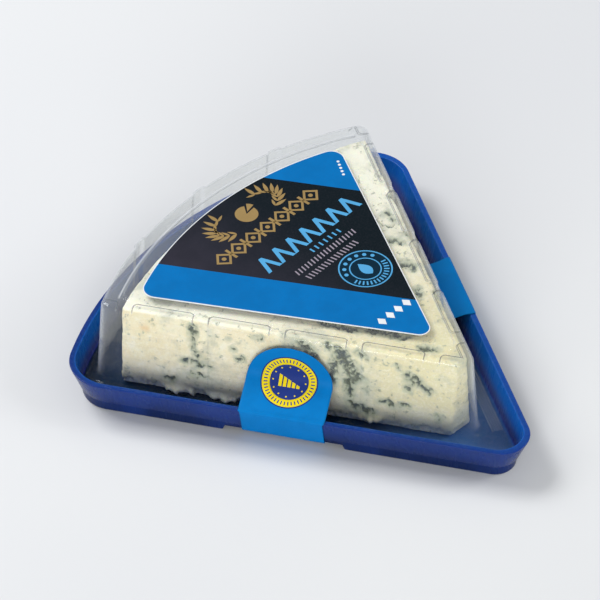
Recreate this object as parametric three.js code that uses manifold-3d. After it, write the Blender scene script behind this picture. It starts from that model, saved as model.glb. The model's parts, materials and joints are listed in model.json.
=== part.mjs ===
// A wedge of blue cheese in its shop pack: a blue tray, a clear press-fit lid, a paper
// label on the lid and a paper seal band that holds the lid and the tray together.
// Millimetres, +Z up. The narrow tip of the wedge points along -Y, the rind along +Y,
// and the pack is a mirror image of itself across the YZ plane.
//
// Every outline is one family: two straight sides that meet at a virtual tip, closed by
// an arc about that tip. A "rise" is a distance outwards from that family's own outline,
// so a section is a list of [rise, z] pairs and each body is a ring of such sections.
import * as THREE from 'three';
import { mergeVertices } from 'three/addons/utils/BufferGeometryUtils.js';
import Module from 'manifold-3d';

const wasm = await Module();
wasm.setup();

// Driving dimensions
const HALF_ANGLE = Math.PI / 6; // between the middle of the pack and each straight side
const LID_RADIUS = 93; // from the virtual tip to the curved wall of the lid, at its top
const ORIGIN_Y = 43.1; // from the virtual tip to the middle of the tray's length
const GAP = 0.3; // clearance between pieces that rest on each other

const PANEL_Z = 26.9; // top of the raised panel that carries the label
const LEDGE_Z = 26.4; // top of the lid around that panel
const LID_WALL = 0.5;
const LEDGE_WIDTH = 2.8; // along the straight sides
const LEDGE_WIDTH_ARC = 4.2; // along the curved side
const PANEL_SLOPE = 0.35; // how far the panel's edge leans outwards
const TOP_ROUND = 1.3; // rounding of the lid's top edge
const WALL_FOOT_Z = 5.9; // where the wall starts to sweep out into the flange
const WALL_LEAN = 1.45; // how much wider the lid is there
const SWEEP = 2.6; // radius of that sweep on the straight sides
const SWEEP_ARC = 1.8; // and on the curved side
const FLANGE_EDGE = 7.2;
const FLANGE_Z = 3.2; // top of the flange

const GROOVE_PLACES = [30.5, 49.3, 68.1]; // from the virtual tip, along each straight side
const GROOVE_WIDTH = 3.9;
const GROOVE_DEPTH = 0.5;
const RIB_ANGLE = 14.6 * Math.PI / 180; // between ribs on the curved wall
const RIB_WIDTH = 3.4;
const RIB_HEIGHT = 0.6;
const RAMP = 0.5; // width of the slope at each edge of a groove or rib
const FOOT_FADE = 0.7; // how much of a groove or rib is left where the wall sweeps out
const LEAST_RADIUS = 0.6; // of a tip or corner on the lid's inner skin
const PANEL_CORNER = 3.2; // radius of the raised panel's corners

const ARC_SHIFT = 3.3; // the tray reaches this much less beyond the lid on the curved side
const RIM_Z = 10;
const RIM_EDGE = 10.8;
const RIM_WIDTH = 1.5;
const STEP_Z = 3.2; // the ledge round the outside of the tray
const STEP_EDGE = 8.45;
const FOOT_EDGE = 8;
const FLOOR_TOP = 2.3;
const FLOOR_BOTTOM = 1.7;
const FLOOR_EDGE = 7.5; // where the inside wall meets the floor
const FOOT_RIDGE_WIDTH = 3.5;
const FOOT_GAP = [31, 60.5]; // where the band passes, along each straight side
const BUMP_Z = 5.8; // the snap bumps that hold the flange down
const BUMP_SIZE = [5, 0.75, 1]; // half their length, depth and height
const BUMP_PLACES = [6, 80]; // along each straight side
const BUMP_ANGLE = 0.38; // on the curved side, from its middle
const BUMP_SET_BACK = 0.1; // the curved wall bulges past a straight bump

const CHEESE_BOTTOM = FLOOR_TOP + GAP;
const CHEESE_TOP = 25.5;
const CHEESE_TIP = 5.4; // the blunt tip, from the virtual tip
const CHEESE_BACK = 88; // from the virtual tip to the back corners
const CHEESE_RIND_RADIUS = 110;
const CHEESE_RISES = [0.2, -1.4]; // of the cut faces, at the bottom and the top

const LABEL_THICKNESS = 0.15;
const LABEL_RISE = -7.1; // from the lid's straight edges
const LABEL_RADIUS = 85;
const LABEL_CORNER = 3.4;
const LABEL_TIP_CORNER = 2.6;
const LABEL_TURN = 1.8 * Math.PI / 180; // it is stuck on slightly askew
const LABEL_SHIFT = 0.7;

const BAND_THICKNESS = 0.25;
const BAND_CENTRE = 45.7; // along each straight side
const BAND_WIDTH = 21.2;
const BAND_FRONT = { tongueTop: 23.1, wallEnd: 14 }; // how high it reaches, where it leaves the lid
const BAND_BACK = { tongueTop: 17, wallEnd: 7.2 };
const BAND_BEND = 1.5; // how far above wallEnd the paper starts to bend

// Plan of the family: a point by its place along a straight side and its rise from it
const side = (mirror) => ({
  along: new THREE.Vector2(mirror * Math.sin(HALF_ANGLE), Math.cos(HALF_ANGLE)),
  out: new THREE.Vector2(mirror * Math.cos(HALF_ANGLE), -Math.sin(HALF_ANGLE)),
});

const LEFT = side(-1);
const RIGHT = side(1);

function planPoint(edge, place, rise) {
  return edge.along.clone().multiplyScalar(place).addScaledVector(edge.out, rise);
}

// Places along a straight side, with how much each one belongs to a groove
function sidePlaces() {
  const places = [];
  for (const centre of GROOVE_PLACES) {
    const half = GROOVE_WIDTH / 2;
    places.push([centre - half - RAMP / 2, 0], [centre - half + RAMP / 2, 1]);
    places.push([centre + half - RAMP / 2, 1], [centre + half + RAMP / 2, 0]);
  }
  return places;
}

// Angles on the curved side from the middle to the last rib, with how much each belongs to a rib
function arcPlaces() {
  const half = RIB_WIDTH / 2 / LID_RADIUS;
  const ramp = RAMP / 2 / LID_RADIUS;
  const places = [];
  for (const centre of [-RIB_ANGLE, 0, RIB_ANGLE]) {
    places.push([centre - half - ramp, 0], [centre - half + ramp, 1]);
    places.push([centre + half - ramp, 1], [centre + half + ramp, 0]);
    if (centre < RIB_ANGLE) {
      places.push([centre + RIB_ANGLE / 3, 0], [centre + RIB_ANGLE * 2 / 3, 0]);
    }
  }
  return places;
}

const TIP_STEPS = 8;
const CORNER_STEPS = 7;
const SHOULDER_STEPS = 4; // on the curved side, between a corner and the nearest rib

// One ring of points. level gives the rise and height on the straight sides, on the curved
// side, in a groove and on a rib, and the radii of the tip and of the two back corners.
function ring(level) {
  const points = [];
  const add = (xy, z) => points.push(new THREE.Vector3(xy.x, xy.y, z));
  const straight = level.straight;
  const curved = level.curved;
  const tip = new THREE.Vector2(0, (level.tipRadius - straight[0]) / Math.sin(HALF_ANGLE));
  const tipTurn = Math.PI - 2 * HALF_ANGLE;
  for (let i = 0; i <= TIP_STEPS; i += 1) {
    const turn = -Math.PI / 2 - tipTurn / 2 + tipTurn * i / TIP_STEPS;
    const spoke = new THREE.Vector2(Math.cos(turn), Math.sin(turn));
    add(tip.clone().addScaledVector(spoke, level.tipRadius), straight[1]);
  }
  const addSide = (edge, places) => {
    for (const [place, part] of places) {
      const rise = THREE.MathUtils.lerp(straight[0], level.groove[0], part);
      const height = THREE.MathUtils.lerp(straight[1], level.groove[1], part);
      add(planPoint(edge, place, rise), height);
    }
  };
  addSide(RIGHT, sidePlaces());

  // Back corner: a circle that touches the straight side and the arc
  const reach = LID_RADIUS + curved[0] - level.cornerRadius;
  const inset = straight[0] - level.cornerRadius;
  const centre = planPoint(RIGHT, Math.sqrt(reach * reach - inset * inset), inset);
  const arcTurn = Math.atan2(centre.y, centre.x);
  const corner = [];
  for (let i = 0; i <= CORNER_STEPS; i += 1) {
    const turn = THREE.MathUtils.lerp(-HALF_ANGLE, arcTurn, i / CORNER_STEPS);
    const spoke = new THREE.Vector2(Math.cos(turn), Math.sin(turn));
    const height = THREE.MathUtils.lerp(straight[1], curved[1], i / CORNER_STEPS);
    corner.push([centre.clone().addScaledVector(spoke, level.cornerRadius), height]);
  }
  corner.forEach(([xy, height]) => add(xy, height));

  const cornerAngle = Math.PI / 2 - arcTurn;
  const ribs = arcPlaces();
  const shoulder = [];
  for (let i = 1; i <= SHOULDER_STEPS; i += 1) {
    const part = i / (SHOULDER_STEPS + 1);
    shoulder.push([THREE.MathUtils.lerp(cornerAngle, ribs[ribs.length - 1][0], part), 0]);
  }
  const mirrored = shoulder.map(([angle]) => [-angle, 0]).reverse();
  for (const [angle, part] of [...shoulder, ...ribs.reverse(), ...mirrored]) {
    const radius = LID_RADIUS + THREE.MathUtils.lerp(curved[0], level.rib[0], part);
    const height = THREE.MathUtils.lerp(curved[1], level.rib[1], part);
    add(new THREE.Vector2(radius * Math.sin(angle), radius * Math.cos(angle)), height);
  }
  corner.reverse().forEach(([xy, height]) => add(new THREE.Vector2(-xy.x, xy.y), height));
  addSide(LEFT, sidePlaces().reverse());
  return points;
}

// A ring whose grooves and ribs are left out
function plainLevel(straightRise, z, tipRadius, cornerRadius, arcShift = ARC_SHIFT) {
  const straight = [straightRise, z];
  const curved = [straightRise - arcShift, z];
  return { straight, curved, groove: straight, rib: curved, tipRadius, cornerRadius };
}

// A closed body through a stack of rings, with the first and last ring filled flat.
// The rings run from the underside of the body round its outside to the last cap.
function loft(rings) {
  const count = rings[0].length;
  const positions = rings.flat().flatMap((point) => [point.x, point.y, point.z]);
  const faces = [];
  for (let level = 0; level < rings.length - 1; level += 1) {
    for (let i = 0; i < count; i += 1) {
      const a = level * count + i;
      const b = level * count + (i + 1) % count;
      faces.push([a, b, b + count], [a, b + count, a + count]);
    }
  }
  const cap = (points, base, up) => {
    const flat = points.map((point) => new THREE.Vector2(point.x, point.y));
    for (const [a, b, c] of THREE.ShapeUtils.triangulateShape(flat, [])) {
      faces.push(up ? [a + base, b + base, c + base] : [a + base, c + base, b + base]);
    }
  };
  cap(rings[0], 0, false);
  cap(rings[rings.length - 1], (rings.length - 1) * count, true);
  const geometry = new THREE.BufferGeometry();
  geometry.setAttribute('position', new THREE.Float32BufferAttribute(positions, 3));
  geometry.setIndex(faces.flat());
  return geometry;
}

// Solids for joining and cutting, and back
function toSolid(geometry) {
  const bare = geometry.clone();
  bare.deleteAttribute('normal');
  bare.deleteAttribute('uv');
  const merged = mergeVertices(bare, 1e-5);
  const vertProperties = new Float32Array(merged.attributes.position.array);
  const triVerts = new Uint32Array(merged.index.array);
  return new wasm.Manifold(new wasm.Mesh({ numProp: 3, vertProperties, triVerts }));
}

function toGeometry(solid) {
  const mesh = solid.getMesh();
  const geometry = new THREE.BufferGeometry();
  geometry.setAttribute('position', new THREE.Float32BufferAttribute(mesh.vertProperties, 3));
  geometry.setIndex(new THREE.Uint32BufferAttribute(mesh.triVerts, 1));
  return geometry;
}

// A plate of the given outline between two heights
function plate(outline, bottom, top) {
  const shape = new THREE.Shape(outline);
  const geometry = new THREE.ExtrudeGeometry(shape, { depth: top - bottom, bevelEnabled: false });
  return geometry.translate(0, 0, bottom);
}

// Lid ---------------------------------------------------------------------------------

// The wall of the lid, top edge to flange, as [rise, z] pairs at a distance inside the
// outer skin. push moves the wall in at a groove or out at a rib; it fades at the foot.
function lidWall(depth, push, sweep, flange) {
  const pairs = [];
  const roundZ = LEDGE_Z - TOP_ROUND;
  for (const turn of [90, 60, 30, 0].map(THREE.MathUtils.degToRad)) {
    const radius = TOP_ROUND - depth;
    const rise = push - TOP_ROUND + radius * Math.cos(turn);
    pairs.push([rise, roundZ + radius * Math.sin(turn)]);
  }
  for (const turn of [0, 22.5, 45, 67.5, 90].map(THREE.MathUtils.degToRad)) {
    const radius = sweep + depth;
    const rise = WALL_LEAN + sweep + (FOOT_FADE * push - radius) * Math.cos(turn);
    pairs.push([rise, FLANGE_Z + sweep - radius * Math.sin(turn)]);
  }
  pairs.push([flange, FLANGE_Z - depth]);
  return pairs;
}

// Tip and back corner radii that go with those pairs
const LID_TIP_RADII = [1.6, 2.2, 2.6, 2.8, 4.2, 4.9, 5.6, 6.3, 6.8, 7];
const LID_CORNER_RADII = [1.2, 1.6, 1.9, 2, 3.6, 4.2, 4.8, 5.3, 5.6, 7.4];

function lidSkin(depth) {
  const flangeArc = FLANGE_EDGE - ARC_SHIFT;
  const straight = lidWall(depth, 0, SWEEP, FLANGE_EDGE);
  const groove = lidWall(depth, -GROOVE_DEPTH, SWEEP, FLANGE_EDGE);
  const curved = lidWall(depth, 0, SWEEP_ARC, flangeArc);
  const rib = lidWall(depth, RIB_HEIGHT, SWEEP_ARC, flangeArc);
  // In a groove the panel runs out to the wall, so its top edge is as high as the panel
  groove.slice(0, 2).forEach((pair, i) => {
    pair[1] = THREE.MathUtils.lerp(PANEL_Z - depth, LEDGE_Z - depth, i * 0.5);
  });
  const rings = straight.map((pair, i) => ({
    straight: pair,
    groove: groove[i],
    curved: curved[i],
    rib: rib[i],
    tipRadius: Math.max(LID_TIP_RADII[i] - depth, LEAST_RADIUS),
    cornerRadius: Math.max(LID_CORNER_RADII[i] - depth, LEAST_RADIUS),
  }));
  // The raised panel: its outline at the ledge and at its top
  const panel = (shrink, z) => ({
    straight: [-LEDGE_WIDTH - depth - shrink, z],
    groove: [-GROOVE_DEPTH - TOP_ROUND - depth * 0.3 - shrink, PANEL_Z - depth],
    curved: [-LEDGE_WIDTH_ARC - depth - shrink, z],
    rib: [-LEDGE_WIDTH_ARC - depth - shrink, z],
    tipRadius: PANEL_CORNER,
    cornerRadius: PANEL_CORNER,
  });
  rings.unshift(panel(0, LEDGE_Z - depth));
  rings.unshift(panel(PANEL_SLOPE, PANEL_Z - depth));
  return rings.map(ring);
}

function lid() {
  const outer = lidSkin(0);
  const inner = lidSkin(LID_WALL);
  return loft([...inner, ...outer.reverse()]);
}

// Tray --------------------------------------------------------------------------------

const RIM_TIP_RADIUS = 7.3;
const RIM_CORNER_RADIUS = 10.2;

// A level of the tray. Its tip and corners get tighter as the wall comes in from the rim.
function trayLevel(rise, z) {
  const inwards = 0.75 * (RIM_EDGE - rise);
  return plainLevel(rise, z, RIM_TIP_RADIUS - inwards, RIM_CORNER_RADIUS - inwards);
}

// The ridge under the floor's edge that the tray stands on, let into the floor a little
function footRidge() {
  const spare = 1; // how far the cutters reach past the ridge
  const overlap = 0.2;
  const outer = ring(trayLevel(FOOT_EDGE, 0));
  const inner = ring(trayLevel(FOOT_EDGE - FOOT_RIDGE_WIDTH, 0));
  const solid = toSolid(plate(outer, 0, FLOOR_BOTTOM + overlap));
  const hollow = toSolid(plate(inner, -spare, FLOOR_BOTTOM + spare));
  let ridge = solid.subtract(hollow);
  for (const edge of [LEFT, RIGHT]) {
    const inside = FOOT_EDGE - FOOT_RIDGE_WIDTH - spare;
    const outside = FOOT_EDGE + spare;
    const [near, far] = FOOT_GAP;
    const corners = [[near, inside], [near, outside], [far, outside], [far, inside]];
    const outline = corners.map(([place, rise]) => planPoint(edge, place, rise));
    ridge = ridge.subtract(toSolid(plate(outline, -spare, FLOOR_BOTTOM + spare)));
  }
  return ridge;
}

// Elongated bumps on the inside wall, two on each straight side and two on the curved one
function snapBumps() {
  const upTheWall = (BUMP_Z - FLOOR_TOP) / (RIM_Z - FLOOR_TOP);
  const wallRise = THREE.MathUtils.lerp(FLOOR_EDGE, RIM_EDGE - RIM_WIDTH, upTheWall);
  const bumps = [];
  const addBump = (xy, turn) => {
    const bump = new THREE.SphereGeometry(1, 14, 8).scale(...BUMP_SIZE);
    bump.rotateZ(turn).translate(xy.x, xy.y, BUMP_Z);
    bumps.push(bump);
  };
  for (const place of BUMP_PLACES) {
    addBump(planPoint(LEFT, place, wallRise), Math.PI / 2 + HALF_ANGLE);
    addBump(planPoint(RIGHT, place, wallRise), Math.PI / 2 - HALF_ANGLE);
  }
  const radius = LID_RADIUS + wallRise - ARC_SHIFT + BUMP_SET_BACK;
  for (const angle of [-BUMP_ANGLE, BUMP_ANGLE]) {
    addBump(new THREE.Vector2(radius * Math.sin(angle), radius * Math.cos(angle)), -angle);
  }
  return bumps;
}

function tray() {
  const body = loft([
    trayLevel(FOOT_EDGE, FLOOR_BOTTOM),
    trayLevel(FOOT_EDGE + 0.05, STEP_Z - 0.1),
    trayLevel(STEP_EDGE, STEP_Z),
    trayLevel(RIM_EDGE - 0.15, RIM_Z - 0.4),
    trayLevel(RIM_EDGE, RIM_Z - 0.1),
    trayLevel(RIM_EDGE - 0.2, RIM_Z),
    trayLevel(RIM_EDGE - RIM_WIDTH, RIM_Z),
    trayLevel(FLOOR_EDGE + 0.3, FLOOR_TOP + 0.8),
    trayLevel(FLOOR_EDGE - 0.5, FLOOR_TOP),
  ].map(ring));
  const solid = snapBumps().reduce((sum, bump) => sum.add(toSolid(bump)), toSolid(body));
  return toGeometry(solid.add(footRidge()));
}

// Cheese ------------------------------------------------------------------------------

// The cut faces lean outwards a little towards the bottom and the rind is a flatter arc
function cheeseOutline(rise) {
  const corner = planPoint(RIGHT, Math.sqrt(CHEESE_BACK ** 2 - rise ** 2), rise);
  const tipHalf = CHEESE_TIP * Math.tan(HALF_ANGLE) + rise / Math.cos(HALF_ANGLE);
  const points = [new THREE.Vector2(-tipHalf, CHEESE_TIP), new THREE.Vector2(tipHalf, CHEESE_TIP)];
  const half = Math.asin(corner.x / CHEESE_RIND_RADIUS);
  const centreY = corner.y - CHEESE_RIND_RADIUS * Math.cos(half);
  const steps = 16;
  for (let i = 0; i <= steps; i += 1) {
    const angle = THREE.MathUtils.lerp(half, -half, i / steps);
    const x = CHEESE_RIND_RADIUS * Math.sin(angle);
    points.push(new THREE.Vector2(x, centreY + CHEESE_RIND_RADIUS * Math.cos(angle)));
  }
  return points;
}

function cheese() {
  const heights = [CHEESE_BOTTOM, CHEESE_TOP];
  return loft(heights.map((z, i) => (
    cheeseOutline(CHEESE_RISES[i]).map((point) => new THREE.Vector3(point.x, point.y, z))
  )));
}

// Label -------------------------------------------------------------------------------

// A rounded corner between two directions, as points on a circle about a centre
function roundCorner(centre, radius, fromTurn, toTurn, steps) {
  const points = [];
  for (let i = 0; i <= steps; i += 1) {
    const turn = THREE.MathUtils.lerp(fromTurn, toTurn, i / steps);
    const spoke = new THREE.Vector2(Math.cos(turn), Math.sin(turn));
    points.push(centre.clone().addScaledVector(spoke, radius));
  }
  return points;
}

function label() {
  const steps = 8;
  const arcSteps = 20;
  // Where the two straight edges, moved in by the tip's radius, cross
  const tip = new THREE.Vector2(0, (LABEL_TIP_CORNER - LABEL_RISE) / Math.sin(HALF_ANGLE));
  const reach = LABEL_RADIUS - LABEL_CORNER;
  const inset = LABEL_RISE - LABEL_CORNER;
  const right = planPoint(RIGHT, Math.sqrt(reach * reach - inset * inset), inset);
  const left = new THREE.Vector2(-right.x, right.y);
  const rightTurn = Math.atan2(right.y, right.x);
  const leftTurn = Math.PI - rightTurn;
  const outline = [
    ...roundCorner(tip, LABEL_TIP_CORNER, -Math.PI + HALF_ANGLE, -HALF_ANGLE, steps),
    ...roundCorner(right, LABEL_CORNER, -HALF_ANGLE, rightTurn, steps),
    ...roundCorner(new THREE.Vector2(), LABEL_RADIUS, rightTurn, leftTurn, arcSteps).slice(1, -1),
    ...roundCorner(left, LABEL_CORNER, leftTurn, Math.PI + HALF_ANGLE, steps),
  ];
  const bottom = PANEL_Z + GAP;
  const geometry = plate(outline, bottom, bottom + LABEL_THICKNESS);
  return geometry.rotateZ(LABEL_TURN).translate(LABEL_SHIFT, 0, 0);
}

// Seal band ---------------------------------------------------------------------------

// The band's path on one side, down the outside of the lid's wall, over the rim and under
// the floor, as [rise, z] points of the face that looks towards the pack
function bandPath({ tongueTop, wallEnd }) {
  const wallTop = LEDGE_Z - TOP_ROUND;
  const onWall = (z) => {
    const down = (wallTop - z) / (wallTop - WALL_FOOT_Z);
    return new THREE.Vector2(GAP + WALL_LEAN * down, z);
  };
  const bendTop = onWall(wallEnd + BAND_BEND);
  const fold = onWall(wallEnd);
  const rimInside = new THREE.Vector2(RIM_EDGE - RIM_WIDTH, RIM_Z + GAP);
  const bendEnd = fold.clone().lerp(rimInside, 0.3);
  const bend = new THREE.QuadraticBezierCurve(bendTop, fold, bendEnd);
  return [
    onWall(tongueTop),
    ...bend.getPoints(4),
    rimInside,
    new THREE.Vector2(RIM_EDGE, RIM_Z + GAP),
    new THREE.Vector2(RIM_EDGE + GAP, RIM_Z),
    new THREE.Vector2(STEP_EDGE + GAP, STEP_Z),
    new THREE.Vector2(FOOT_EDGE + GAP, FLOOR_BOTTOM - GAP),
  ];
}

// The same path moved to the outside of the paper, and at its end to the underside
function thicken(path) {
  const underside = new THREE.Vector2(0.4, -1);
  return path.map((point, i) => {
    const before = path[Math.max(i - 1, 0)];
    const after = path[Math.min(i + 1, path.length - 1)];
    const along = after.clone().sub(before).normalize();
    const last = i === path.length - 1;
    const out = last ? underside : new THREE.Vector2(-along.y, along.x);
    return point.clone().addScaledVector(out, BAND_THICKNESS);
  });
}

// A strip of the given [rise, z] outline along one straight side
function sideStrip(outline, edge, from, to) {
  const shape = new THREE.Shape(outline);
  const geometry = new THREE.ExtrudeGeometry(shape, { depth: to - from, bevelEnabled: false });
  const out = new THREE.Vector3(edge.out.x, edge.out.y, 0);
  const up = new THREE.Vector3(0, 0, 1);
  const along = out.clone().cross(up);
  const basis = new THREE.Matrix4().makeBasis(out, up, along);
  const place = along.dot(new THREE.Vector3(edge.along.x, edge.along.y, 0)) > 0 ? from : -to;
  basis.setPosition(along.clone().multiplyScalar(place));
  return geometry.applyMatrix4(basis);
}

// The tongue's outline seen square on to the wall: a full half circle at the top
function tongueCutter(edge, tongueTop) {
  const radius = BAND_WIDTH / 2;
  const bottom = -1;
  const depth = 30;
  const shape = new THREE.Shape();
  shape.moveTo(-radius, bottom);
  shape.lineTo(radius, bottom);
  shape.lineTo(radius, tongueTop - radius);
  shape.absarc(0, tongueTop - radius, radius, 0, Math.PI, false);
  const settings = { depth, bevelEnabled: false, curveSegments: 14 };
  const geometry = new THREE.ExtrudeGeometry(shape, settings).translate(0, 0, -depth / 2);
  const out = new THREE.Vector3(edge.out.x, edge.out.y, 0);
  const up = new THREE.Vector3(0, 0, 1);
  const basis = new THREE.Matrix4().makeBasis(up.clone().cross(out), up, out);
  basis.setPosition(edge.along.x * BAND_CENTRE, edge.along.y * BAND_CENTRE, 0);
  return geometry.applyMatrix4(basis);
}

function sideOfBand(edge, reach) {
  const path = bandPath(reach);
  const outline = [...path, ...thicken(path).reverse()];
  const from = BAND_CENTRE - BAND_WIDTH / 2;
  const strip = toSolid(sideStrip(outline, edge, from, from + BAND_WIDTH));
  return strip.intersect(toSolid(tongueCutter(edge, reach.tongueTop)));
}

function sealBand() {
  const near = BAND_CENTRE - BAND_WIDTH / 2;
  const far = BAND_CENTRE + BAND_WIDTH / 2;
  const rise = FOOT_EDGE + GAP + BAND_THICKNESS * 0.4;
  const corners = [[LEFT, near], [RIGHT, near], [RIGHT, far], [LEFT, far]];
  const outline = corners.map(([edge, place]) => planPoint(edge, place, rise));
  const top = FLOOR_BOTTOM - GAP;
  const under = toSolid(plate(outline, top - BAND_THICKNESS, top));
  const front = sideOfBand(LEFT, BAND_FRONT);
  const back = sideOfBand(RIGHT, BAND_BACK);
  return toGeometry(under.add(front).add(back));
}

// Assembly ----------------------------------------------------------------------------

const MATERIALS = {
  cheese: { color: 0xede6cc, roughness: 0.55, metalness: 0 },
  clear: { color: 0xdfe7ec, roughness: 0.08, metalness: 0, transparent: true, opacity: 0.35 },
  blueTray: { color: 0x1c3f9c, roughness: 0.3, metalness: 0 },
  bluePaper: { color: 0x0075bf, roughness: 0.45, metalness: 0 },
};

const group = new THREE.Group();

function addPiece(name, geometry, look) {
  geometry.computeVertexNormals();
  const mesh = new THREE.Mesh(geometry, new THREE.MeshStandardMaterial(MATERIALS[look]));
  mesh.name = name;
  mesh.position.y = -ORIGIN_Y;
  group.add(mesh);
}

addPiece('tray', tray(), 'blueTray');
addPiece('cheese_wedge', cheese(), 'cheese');
addPiece('lid', lid(), 'clear');
addPiece('top_label', label(), 'bluePaper');
addPiece('seal_band', sealBand(), 'bluePaper');

export default group;
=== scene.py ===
# A wedge of blue cheese in its shop pack: a blue tray, the wedge, a clear press-fit lid, a
# printed label on the lid and a paper seal band round both, in the order they are packed.
import math
import json

import bmesh
import bpy
import numpy as np
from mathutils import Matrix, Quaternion, Vector, noise

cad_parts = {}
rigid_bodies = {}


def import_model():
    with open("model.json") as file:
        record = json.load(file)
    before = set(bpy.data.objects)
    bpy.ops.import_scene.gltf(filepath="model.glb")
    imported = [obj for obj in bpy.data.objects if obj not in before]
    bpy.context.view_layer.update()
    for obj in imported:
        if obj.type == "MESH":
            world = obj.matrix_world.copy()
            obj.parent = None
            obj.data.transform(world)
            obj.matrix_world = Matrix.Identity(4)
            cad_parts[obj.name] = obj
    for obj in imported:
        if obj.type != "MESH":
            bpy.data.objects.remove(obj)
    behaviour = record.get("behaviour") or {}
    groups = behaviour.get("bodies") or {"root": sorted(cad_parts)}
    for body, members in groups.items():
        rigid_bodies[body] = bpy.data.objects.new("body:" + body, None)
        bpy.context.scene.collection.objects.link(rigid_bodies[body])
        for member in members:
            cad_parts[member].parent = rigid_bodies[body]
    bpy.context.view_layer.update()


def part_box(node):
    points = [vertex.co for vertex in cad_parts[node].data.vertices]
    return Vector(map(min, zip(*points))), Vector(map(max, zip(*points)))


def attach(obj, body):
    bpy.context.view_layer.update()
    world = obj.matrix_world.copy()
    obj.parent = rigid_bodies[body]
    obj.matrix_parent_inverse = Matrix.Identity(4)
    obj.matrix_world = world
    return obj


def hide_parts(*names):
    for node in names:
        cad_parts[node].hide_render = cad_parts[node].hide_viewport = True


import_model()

# Camera ------------------------------------------------------------------------------
# A long lens well back from the pack, so that its sides hardly converge. It looks down
# on the left cut face, with the narrow tip of the wedge at the lower right.
AIM = Vector((-0.0013, 0.0142, 0.0128))
AZIMUTH = math.radians(-46.14)
ELEVATION = math.radians(42.71)
ROLL = math.radians(-0.21)
DISTANCE = 1.1436

scene = bpy.context.scene
back = Vector((
    math.sin(AZIMUTH) * math.cos(ELEVATION),
    -math.cos(AZIMUTH) * math.cos(ELEVATION),
    math.sin(ELEVATION),
))
camera = bpy.data.objects.new("camera", bpy.data.cameras.new("camera"))
camera.data.lens = 282
camera.data.sensor_width = 36
camera.data.clip_end = 20
camera.location = AIM + back * DISTANCE
camera.rotation_mode = "QUATERNION"
camera.rotation_quaternion = back.to_track_quat("Z", "Y") @ Quaternion((0, 0, 1), ROLL)
scene.collection.objects.link(camera)
scene.camera = camera

# Tray --------------------------------------------------------------------------------
# One sheet of translucent blue plastic, thermoformed into a shallow tray. It stands on a
# ridge under its edge, and a step and a flat rim stiffen its leaning wall.
# Sizes are in millimetres from the virtual tip where the two straight sides would meet.
# A rise is a distance outwards from the sides and the arc of the lid's top edge.
MM = 0.001
HALF_ANGLE = math.radians(30)
LID_RADIUS = 93
ARC_SHIFT = 3.3  # the tray reaches this much less beyond the lid on the curved side
RIM_RISE = 10.8
tray_low, tray_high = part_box("tray")
RIM_Z = tray_high.z / MM
TIP_Y = tray_high.y / MM - (LID_RADIUS + RIM_RISE - ARC_SHIFT)
FLOOR_Z = 1.7
FOOT_GAP = (31, 60.5)  # where the band passes, along each straight side
DENT_PLACES = (6.5, 80)  # of the bumps that hold the lid, along each straight side
DENT_Z = 5.8
DENT_DEPTH = 0.55
FINE_STRETCH = (22, 77)  # of a straight side, where the grooves are
OUTSIDE_BLUE = (0.004, 0.024, 0.150)
# Painted light: the inside of the wall is painted this brighter blue, as if lit through the plastic.
INSIDE_LIT_BLUE = (0.006, 0.105, 0.430)


def side(mirror):
    """The directions along and out of a straight side."""
    along = np.array([mirror * math.sin(HALF_ANGLE), math.cos(HALF_ANGLE)])
    out = np.array([mirror * math.cos(HALF_ANGLE), -math.sin(HALF_ANGLE)])
    return along, out


LEFT = side(-1)
RIGHT = side(1)


def smooth(value, low, high):
    """0 below low and 1 above high, with a soft step between them."""
    share = np.clip((np.asarray(value, float) - low) / (high - low), 0, 1)
    return share * share * (3 - 2 * share)


def within(value, low, high, ramp):
    """1 between low and high, falling to 0 over a ramp centred on each of them."""
    half = ramp / 2
    return smooth(value, low - half, low + half) * (1 - smooth(value, high - half, high + half))


def side_places(start, end):
    near, far = FINE_STRETCH
    return np.concatenate([
        np.linspace(start, near, 30, endpoint=False),
        np.linspace(near, far, 220, endpoint=False),
        np.linspace(far, end, 18, endpoint=False),
    ])


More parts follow.
